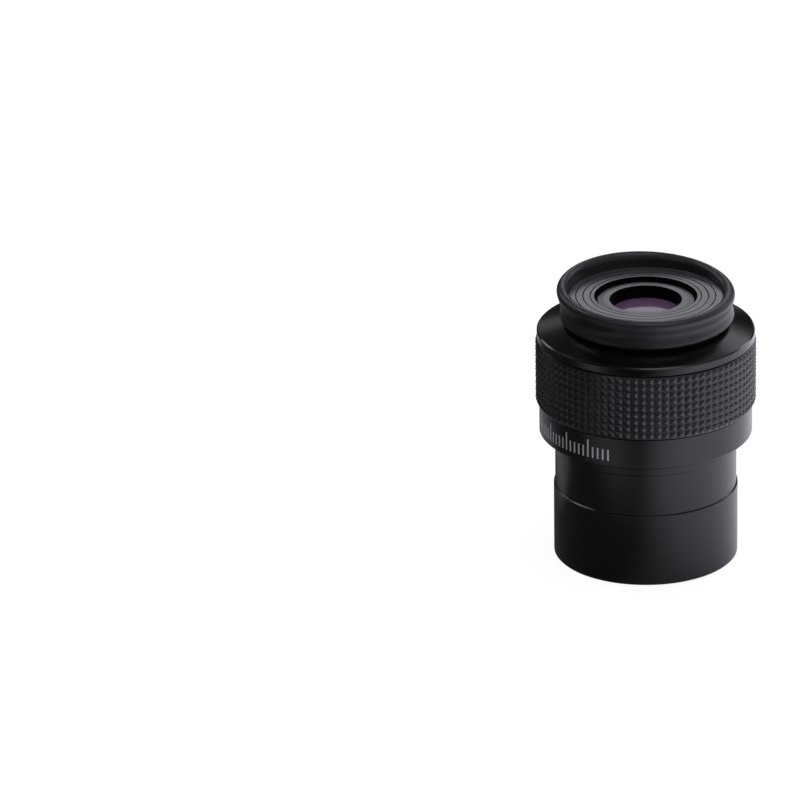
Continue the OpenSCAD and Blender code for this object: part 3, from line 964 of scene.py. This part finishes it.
@dataclass
class Head:
    """The body tube, the top cap, its grub screws and the eye ring."""

    band: float = 29.3
    band_low: float = 36.3
    band_high: float = 44.9
    band_bevel: float = 0.3
    seat: float = 28.3
    tube_top: float = 63.85
    cap_bore: float = 26.05
    cap_floor: float = 55.85
    spigot_bore: float = 24.25
    spigot_roof: float = 42.5
    recess: float = 25.45
    cell_bore: float = 18.9
    skirt: float = 26.0
    skirt_bore: float = 21.0
    skirt_low: float = 57.9
    edge: float = 29.9
    edge_low: float = 63.9
    edge_high: float = 66.3
    edge_bevel: float = 0.35
    foot_bevel: float = 0.15
    cone: float = 22.6
    cone_high: float = 68.5
    neck: float = 21.2
    neck_bore: float = 18.0
    neck_foot: float = 65.8
    neck_top: float = 73.6
    groove: float = 20.4
    groove_low: float = 69.8
    groove_high: float = 71.4
    well: float = 14.1
    plate: float = 75.6
    plate_low: float = 73.65
    ring_thread: float = 17.95
    ring_bore: float = 15.65
    ring_low: float = 71.0
    glare: tuple[float, ...] = (15.2, 17.17, 19.14)
    glare_half: float = 0.16
    glare_depth: float = 0.25

    def tube_outline(self) -> Outline:
        """The body tube's outline, up the label band and the grip's seat and down the bore.

        Returns:
            The outline.
        """
        top_edge = 0.06
        return Outline((
            (self.spigot_bore, self.band_low + 0.4),
            (self.recess, self.band_low + 0.4),
            (self.recess, self.band_low),
            (self.band - self.band_bevel, self.band_low, 0.1),
            (self.band, self.band_low + self.band_bevel, 0.12),
            (self.band, self.band_high - top_edge, 0.06),
            (self.band - top_edge, self.band_high),
            (self.seat, self.band_high),
            (self.seat, self.tube_top),
            (self.cap_bore, self.tube_top),
            (self.cap_bore, self.cap_floor),
            (self.cell_bore, self.cap_floor),
            (self.cell_bore, self.spigot_roof),
            (self.spigot_bore, self.spigot_roof),
        ))

    def cap_outline(self) -> Outline:
        """The top cap's outline, up its edge, bevel, cone and neck and down inside.

        Returns:
            The outline.
        """
        return Outline((
            (self.skirt, self.skirt_low),
            (self.skirt, self.edge_low),
            (self.edge - self.foot_bevel, self.edge_low, 0.06),
            (self.edge, self.edge_low + self.foot_bevel, 0.06),
            (self.edge, self.edge_high - self.edge_bevel, 0.08),
            (self.edge - self.edge_bevel, self.edge_high, 0.1),
            (self.cone, self.cone_high, 0.1),
            (self.neck, self.cone_high),
            (self.neck, self.groove_low),
            (self.groove, self.groove_low),
            (self.groove, self.groove_high),
            (self.neck, self.groove_high),
            (self.neck, self.neck_top),
            (self.neck_bore, self.neck_top),
            (self.neck_bore, self.neck_foot),
            (self.skirt_bore, self.edge_low),
            (self.skirt_bore, self.skirt_low),
        ))

    def ring_outline(self) -> Outline:
        """The eye ring's outline, with its glare grooves across the top face.

        Returns:
            The outline.
        """
        cuts: list[Corner] = []
        for radius in reversed(self.glare):
            cuts += [
                (radius + self.glare_half, self.plate, 0.03),
                (radius, self.plate - self.glare_depth, 0.03),
                (radius - self.glare_half, self.plate, 0.03),
            ]
        return Outline((
            (self.ring_bore, self.ring_low),
            (self.ring_thread, self.ring_low),
            (self.ring_thread, self.plate_low),
            (self.neck, self.plate_low),
            (self.neck, self.plate, 0.15),
            *cuts,
            (self.well, self.plate, 0.1),
            (self.well, self.plate_low),
            (self.ring_bore, self.plate_low),
        ), support=0.08)

    def build(self) -> None:
        """Makes the four pieces."""
        low, high = self.band_low + 0.5, self.spigot_roof - 0.3
        thread = Thread(self.spigot_bore, low, high, FILTER_PITCH, FILTER_DEPTH, Cut.FEMALE)
        body = BODY_DYE.build()
        turned("body_tube_turned", self.tube_outline(), 192, (thread,)).place(
            Body.HEAD, Slot.BODY_METAL, BAND_DYE.build(), "body_tube"
        )
        turned("top_cap_turned", self.cap_outline(), 224).place(Body.HEAD, Slot.BODY_METAL, body, "top_cap")
        turned("eye_ring_turned", self.ring_outline(), 192).place(
            Body.HEAD, Slot.EYE_METAL, EYE_DYE_WITH_PAINTED_SHEEN.build(), "eye_ring"
        )
        dress("cap_grub_screws", STEEL)


@dataclass
class Eyecup:
    """The rubber eyecup, folded down on its neck and sitting a little askew."""

    bore: float = 21.28
    low: float = 68.7
    lip: float = 20.48
    lip_low: float = 69.9
    lip_high: float = 71.3
    crest: float = 78.3
    fold: float = 1.56
    outer: float = 24.4
    waist: float = 23.75
    wall: float = 1.2
    slit_top: float = 1.8
    bead: float = 0.75
    bead_inset: float = 0.2
    bead_level: float = 70.3
    tilt: float = 1.35
    high_side: float = 120.0
    ripple: float = 0.06
    tuck: float = 0.7
    tuck_side: float = 192.0
    sag: float = 0.45
    columns: int = 240

    def profile(self) -> np.ndarray:
        """The cup's outline, going round anticlockwise from the foot of the skirt.

        The bead and the fold are arcs. The skirt between them follows a half cosine from one to
        the other, less a squared sine that draws it in to the waist.

        Returns:
            Radius and level of each point.
        """
        fold_z, fold_x = self.crest - self.fold, self.outer - self.fold
        bead_x = self.outer - self.bead_inset - self.bead
        t = np.linspace(0.0, 1.0, 31)[1:]
        arc = np.radians(np.linspace(180.0, 370.0, 18))
        bead = np.stack([bead_x + self.bead * np.cos(arc), self.bead_level + self.bead * np.sin(arc)], -1)
        start = bead[-1]
        line = start[0] + (self.outer - start[0]) * (1.0 - np.cos(np.pi * t)) / 2.0
        dip = (self.outer - 0.1 - self.waist) * np.sin(np.pi * t**0.85) ** 2
        skirt = np.stack([line - dip, start[1] + (fold_z - start[1]) * t], -1)
        arc = np.radians(np.linspace(0.0, 180.0, 28)[1:])
        fold = np.stack([fold_x + self.fold * np.cos(arc), fold_z + self.fold * np.sin(arc)], -1)
        wall = np.linspace(fold_z, self.lip_high, 8)[1:]
        inner = np.stack([np.full_like(wall, self.bore), wall], -1)
        back, slit = self.bore + self.wall, self.bead_level + self.slit_top
        lip = np.array([
            [self.lip, self.lip_high], [self.lip, self.lip_low], [self.bore, self.lip_low],
            [self.bore, self.low], [back, self.low], [back, slit], [bead_x - self.bead, slit],
        ])
        return np.concatenate([bead, skirt, fold, inner, lip])

    def build(self) -> None:
        """Turns the cup and leans its fold.

        The level gains the tilt times the cosine of the angle from the high side, and a small
        second wave, both times a share that rises from 0 at the neck's groove to 1 at the crest.
        Towards the bead the skirt tucks in on one side and sags in front, each by a raised cosine.
        """
        loop = self.profile()
        angle = np.arange(self.columns)[None, :] * (TURN / self.columns)
        radius, level = loop[:, :1], loop[:, 1:]
        share = np.clip((level - self.lip_high) / (self.crest - self.lip_high), 0.0, 1.0) ** 1.3
        away = angle - math.radians(self.high_side)
        lean = self.tilt * np.cos(away) + self.ripple * np.cos(2.0 * away + 0.7)
        sway = self.ripple * share * np.sin(3.0 * angle + 0.4) * (radius > self.bore + self.fold)
        fold_z = self.crest - self.fold
        hang = np.clip((fold_z - level) / (fold_z - self.bead_level), 0.0, 1.0) * (radius > self.bore + 0.5)
        tuck = self.tuck * hang * np.clip(np.cos(angle - math.radians(self.tuck_side)), 0.0, 1.0) ** 1.5
        sag = self.sag * hang * (level > self.low + 0.1) * np.clip(-np.sin(angle), 0.0, 1.0) ** 1.5
        points = place_grid(radius - np.abs(sway) - tuck, level + share * lean - sag, angle)
        piece = Piece("eyecup_folded", points, grid_faces(len(loop), self.columns))
        height = np.clip((radius - self.waist) / (self.outer - self.waist), 0.0, 1.0) * np.ones_like(angle)
        piece.carry("relief", 0.55 + 0.4 * height)
        piece.place(Body.CUP, Slot.CUP_RUBBER, CUP_RUBBER.build(), "eyecup")


@dataclass
class Optics:
    """The lens cell, its five lenses, spacers and rings, and the field stop."""

    gap: float = 0.05
    cell_neck: float = 17.9
    cell_top: float = 15.45
    cell_top_gap: float = 0.2
    flange: float = 2.0
    eye_seat: float = 11.55
    eye_ledge: float = 10.8
    ledge: float = 1.0
    field_bore: float = 12.6
    retainer_bore: float = 9.2
    retainer_mouth: float = 9.9
    retainer_rim: float = 11.65
    retainer_bevel: float = 0.25
    tube_thread: float = 17.0
    tube_seat: float = 16.45
    tube_bore: float = 15.0
    stop_hole: float = 12.2
    stop_back: float = 13.0
    stop_edge: float = 0.15
    ring_rounding: float = 0.08

    def cell_outline(self) -> Outline:
        """The lens cell's outline, up the outside and down its bore, stepped to suit what it holds.

        Returns:
            The outline.
        """
        cell, cap, ring = Span.of("lens_cell"), Span.of("top_cap"), Span.of("eye_ring")
        eye, spacer, wide = Span.of("eye_lens_retainer"), Span.of("eye_spacer"), Span.of("field_spacer")
        rim, lock = Span.of("field_flint_lens"), Span.of("field_lens_retainer")
        gap, tube, thread = self.gap, Span.of("stop_tube").radius, self.tube_thread + self.gap
        flange, step, shelf = cap.low - gap, ring.low - self.cell_top_gap, spacer.high + gap
        eye_r, spacer_r, wide_r, lock_r = (span.radius + gap for span in (eye, spacer, wide, lock))
        return Outline((
            (thread, cell.low), (tube, cell.low), (tube, flange - self.flange),
            (cell.radius, flange - self.flange), (cell.radius, flange), (self.cell_neck, flange),
            (self.cell_neck, step), (self.cell_top, step), (self.cell_top, cell.high), (eye_r, cell.high),
            (eye_r, eye.low - gap), (self.eye_seat, eye.low - gap), (self.eye_seat, shelf + self.ledge),
            (self.eye_ledge, shelf + self.ledge), (self.eye_ledge, shelf), (spacer_r, shelf),
            (spacer_r, wide.high + gap), (wide_r, wide.high + gap), (wide_r, rim.low), (lock_r, rim.low),
            (lock_r, lock.low - gap), (thread, lock.low - gap),
        ))

    def retainer_outline(self) -> Outline:
        """The ring round the eye lens, up its thread and over its sloping face.

        Returns:
            The outline.
        """
        eye = Span.of("eye_lens_retainer")
        return Outline((
            (self.retainer_bore, eye.low), (eye.radius, eye.low),
            (eye.radius, eye.high - self.retainer_bevel, 0.08), (self.retainer_rim, eye.high, 0.08),
            (self.retainer_mouth, eye.high, 0.1),
        ))

    def spacer_outline(self, node: str, bore: float) -> Outline:
        """A plain spacer of a node's size with a given bore.

        Args:
            node: The spacer's node, which gives its size.
            bore: Its inner radius in millimetres.

        Returns:
            The outline.
        """
        span = Span.of(node)
        corners = ((bore, span.low), (span.radius, span.low), (span.radius, span.high), (bore, span.high))
        return Outline(corners, self.ring_rounding)

    def tube_outline(self) -> Outline:
        """The stop tube's outline, up its outside and thread and down to the stop's seat.

        Returns:
            The outline.
        """
        tube, foot = Span.of("stop_tube"), Span.of("lens_cell").low - self.gap
        seat = Span.of("field_stop").high + self.gap
        return Outline((
            (self.tube_seat, tube.low), (tube.radius, tube.low), (tube.radius, foot),
            (self.tube_thread, foot), (self.tube_thread, tube.high), (self.tube_bore, tube.high),
            (self.tube_bore, seat), (self.tube_seat, seat),
        ), self.ring_rounding)

    def stop_outline(self) -> Outline:
        """The field stop's outline, thin at its hole.

        Returns:
            The outline.
        """
        disc = Span.of("field_stop")
        return Outline((
            (self.stop_hole, disc.high - self.stop_edge, 0.02), (self.stop_back, disc.low),
            (disc.radius, disc.low), (disc.radius, disc.high), (self.stop_hole, disc.high, 0.02),
        ))

    def rings(self) -> None:
        """Turns the cell, the eye lens retainer, the spacers, the stop tube and the stop, and paints the kept
        field lens retainer and lock ring.
        """
        paint, dye, inner = PAINT.build(), RETAINER_DYE_WITH_PAINTED_LIGHT.build(), Slot.INNER_METAL
        eye, field = ("eye_spacer", self.eye_ledge), ("field_spacer", self.field_bore)
        plan = (
            ("lens_cell_turned", "lens_cell", self.cell_outline(), 128, inner, paint),
            ("eye_retainer_turned", "eye_lens_retainer", self.retainer_outline(), 160, Slot.EYE_METAL, dye),
            ("eye_spacer_turned", "eye_spacer", self.spacer_outline(*eye), 128, inner, paint),
            ("field_spacer_turned", "field_spacer", self.spacer_outline(*field), 128, inner, paint),
            ("stop_tube_turned", "stop_tube", self.tube_outline(), 128, inner, paint),
            ("field_stop_turned", "field_stop", self.stop_outline(), 160, inner, paint),
        )
        for name, node, outline, columns, slot, material in plan:
            body = Body.LIFT if node == "field_stop" else Body.HEAD
            turned(name, outline, columns).place(body, slot, material, node)
        for node in ("field_lens_retainer", "stop_lock_ring"):
            dress(node, PAINT)

    def lenses(self) -> None:
        """Makes the five lenses, from the eye to the field, with the curves of their two faces.

        A face that is cemented to another is a hair flatter than its mate, so that the two never cross.
        """
        inner = INNER_GLASS.build()
        plan = (
            ("eye_crown", "eye_crown_lens", 90.0, 22.0, Slot.COATED_GLASS, EYE_GLASS.build()),
            ("eye_flint", "eye_flint_lens", -22.02, 0.0, Slot.INNER_GLASS, inner),
            ("centre_glass", "centre_lens", 38.0, 38.0, Slot.INNER_GLASS, inner),
            ("field_crown", "field_crown_lens", 38.0, 26.0, Slot.INNER_GLASS, inner),
            ("field_flint", "field_flint_lens", -26.02, -45.0, Slot.COATED_GLASS, FIELD_GLASS.build()),
        )
        for name, node, top_curve, bottom_curve, slot, glass in plan:
            span = Span.of(node)
            edge = np.array([span.radius])
            top = span.high + min(0.0, float(LensShape.drop(top_curve, edge)[0]))
            bottom = span.low - min(0.0, float(LensShape.drop(bottom_curve, edge)[0]))
            shape = LensShape(span.radius, top, top_curve, bottom, bottom_curve)
            shape.build(name).place(Body.HEAD, slot, glass, node)

    def build(self) -> None:
        """Makes the metal and the glass."""
        self.rings()
        self.lenses()


def dress(node: str, finish: Finish) -> None:
    """Gives a kept CAD node its finish.

    Args:
        node: The node's name.
        finish: The finish.
    """
    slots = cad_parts[node].data.materials
    slots.clear()
    slots.append(finish.build())
    LOG.info("%s: kept, with finish %s", node, finish.name)


# ---------------------------------------------------------------------------------------------
# Studio


@dataclass(frozen=True)
class Softbox:
    """A soft rectangular light that faces a point. Its glow is the brightness of its face."""

    name: str
    place: tuple[float, float, float]
    target: tuple[float, float, float]
    width: float
    height: float
    glow: float

    def build(self) -> None:
        """Hangs the light. Its power is its glow times its area times pi."""
        lamp = bpy.data.lights.new(self.name, "AREA")
        lamp.shape = "RECTANGLE"
        lamp.size, lamp.size_y = self.width, self.height
        lamp.color = (0.96, 0.97, 1.04)
        lamp.energy = self.glow * self.width * self.height * math.pi
        hung = bpy.data.objects.new(self.name, lamp)
        hung.location = self.place
        aim = Vector(self.target) - Vector(self.place)
        hung.rotation_euler = aim.to_track_quat("-Z", "Y").to_euler()
        hung.visible_camera = False
        bpy.context.scene.collection.objects.link(hung)


@dataclass
class Studio:
    """A pale floor, soft lights and the camera."""

    elevation: float = 22.95
    distance: float = 1.9
    aim_level: float = 0.040
    lens: float = 310.24
    sensor: float = 36.0
    across: float = 0.0356388
    up: float = -0.0022338
    floor_half: float = 2.5
    floor_drop: float = 0.00005
    boxes: tuple[Softbox, ...] = (
        Softbox("low_back_box", (0.0, 1.15, 0.62), (0.0, 0.0, 0.07), 0.4, 0.3, 2.4),
        Softbox("left_back_box", (-0.3, 1.08, 0.43), (0.0, 0.0, 0.07), 0.22, 0.2, 0.4),
        Softbox("left_high_box", (-0.62, 0.35, 0.85), (0.0, 0.0, 0.07), 0.3, 0.3, 3.5),
        Softbox("right_back_box", (0.36, 0.95, 0.73), (0.0, 0.0, 0.07), 0.3, 0.3, 0.8),
        Softbox("top_box", (0.12, -0.2, 0.95), (0.0, 0.0, 0.05), 0.5, 0.5, 1.5),
        Softbox("left_box", (-0.85, 0.7, 0.5), (0.0, 0.0, 0.06), 0.3, 0.35, 2.5),
        Softbox("front_box", (-0.5, -0.6, 0.6), (0.0, 0.0, 0.05), 0.35, 0.35, 1.0),
        Softbox("right_box", (0.85, 0.7, 0.5), (0.0, 0.0, 0.05), 0.3, 0.35, 3.0),
    )

    def camera(self) -> None:
        """Aims the camera so that the object's axis stands upright, right of the middle.

        The camera's up has no X part, so the axis stays upright. It is pitched so that the aim point
        falls the stated share below the middle, and turned so that it falls the stated share right.
        """
        tilt = math.radians(self.elevation)
        drop = self.up / math.sqrt(1.0 + self.across**2 + self.up**2)
        pitch = tilt + math.asin(drop)
        swing = math.atan(self.across)
        up = Vector((0.0, math.sin(pitch), math.cos(pitch)))
        back = Vector((0.0, -math.cos(pitch), math.sin(pitch)))
        side = Vector((1.0, 0.0, 0.0))
        right = side * math.cos(swing) - back * math.sin(swing)
        behind = side * math.sin(swing) + back * math.cos(swing)
        aim = Vector((0.0, 0.0, self.aim_level))
        place = aim + Vector((0.0, -math.cos(tilt), math.sin(tilt))) * self.distance
        view = bpy.data.cameras.new("camera")
        view.sensor_width, view.lens = self.sensor, self.lens
        view.clip_start, view.clip_end = 0.05, 20.0
        stand = bpy.data.objects.new("camera", view)
        turn = Matrix((right, up, behind)).transposed()
        stand.matrix_world = Matrix.Translation(place) @ turn.to_4x4()
        bpy.context.scene.collection.objects.link(stand)
        bpy.context.scene.camera = stand

    def floor(self) -> None:
        """Lays the floor: near white where it is seen, and shaded where the object mirrors it.

        The mirrored floor is bright on the right and darkens to the left, where other things stand
        on the table, with one gap of light between them. It also brightens towards the front, away
        from the object's own shadow.
        """
        sides = np.array([[-1.0, -1.0], [1.0, -1.0], [1.0, 1.0], [-1.0, 1.0]]) * self.floor_half
        corners = np.insert(sides, 2, -self.floor_drop, axis=1)
        piece = Piece("floor", corners, np.array([[0, 1, 2, 3]]))
        s = Shader("floor_paper")
        fibre = s.noise(900.0, 3.0, 0.6)
        paper = s.surface(base_color=s.mix(fibre, (0.30, 0.30, 0.30), (0.32, 0.32, 0.32)), roughness=0.9)
        glow = s.node("ShaderNodeEmission", {}, {"Color": (1.0, 1.0, 1.0, 1.0), "Strength": 0.9})
        seen = s.node("ShaderNodeAddShader", {}, {0: paper.outputs[0], 1: glow.outputs[0]})
        x, y, z = s.axes()
        ahead = y * -1.0
        left = x * -1.0
        front = ahead.step(0.05, 0.11) * (1.0 - ahead.step(0.125, 0.15))
        front = front * (0.25 + left.step(0.02, 0.07) * 0.35)
        gap = left.step(0.045, 0.065) * (1.0 - left.step(0.1, 0.12)) * y.step(0.008, 0.025) * 0.3
        foot = (1.0 - ahead.step(0.1, 0.16)) * 0.05
        near_right = x.step(-0.015, 0.05) * (0.95 - ahead.step(0.14, 0.18) * 0.75)
        far_right = x.step(0.045, 0.09) * 0.35
        bright = (0.03 + foot + front + gap + (near_right + far_right)) / 1.5
        tone = s.mix(bright, (0.0, 0.0, 0.0), (1.38, 1.4, 1.53))
        shade = s.node("ShaderNodeEmission", {}, {"Color": tone, "Strength": 1.0})
        sight = s.node("ShaderNodeLightPath").outputs["Is Camera Ray"]
        piece.mesh.materials.append(s.finish(s.blend(sight, shade, seen)))

    def build(self) -> None:
        """Sets up the camera, the floor, the lights and a dim sky, darker on the left and low behind."""
        self.camera()
        self.floor()
        for box in self.boxes:
            box.build()
        world = bpy.data.worlds.new("sky")
        s = Shader("sky", world)
        x, y, z = s.axes()
        tone = s.mix(x.step(-0.4, 0.4), (0.03, 0.03, 0.034), (0.32, 0.32, 0.35))
        tone = s.mix(y.step(0.2, 0.6) * z.step(0.42, 0.34), tone, (0.012, 0.012, 0.014))
        sky = s.node("ShaderNodeBackground", {}, {"Color": tone, "Strength": 1.0})
        s.node("ShaderNodeOutputWorld", {}, {"Surface": sky.outputs[0]})
        bpy.context.scene.world = world
        bpy.context.scene.view_settings.view_transform = "Standard"


def main() -> None:
    """Builds the studio and every sub-assembly in order."""
    logging.basicConfig(level=logging.INFO, format="%(name)s %(message)s")
    for part in (Studio(), Barrel(), Head(), Grip(), Eyecup(), Optics()):
        LOG.info("building %s", type(part).__name__)
        part.build()


if __name__ == "__main__":
    main()
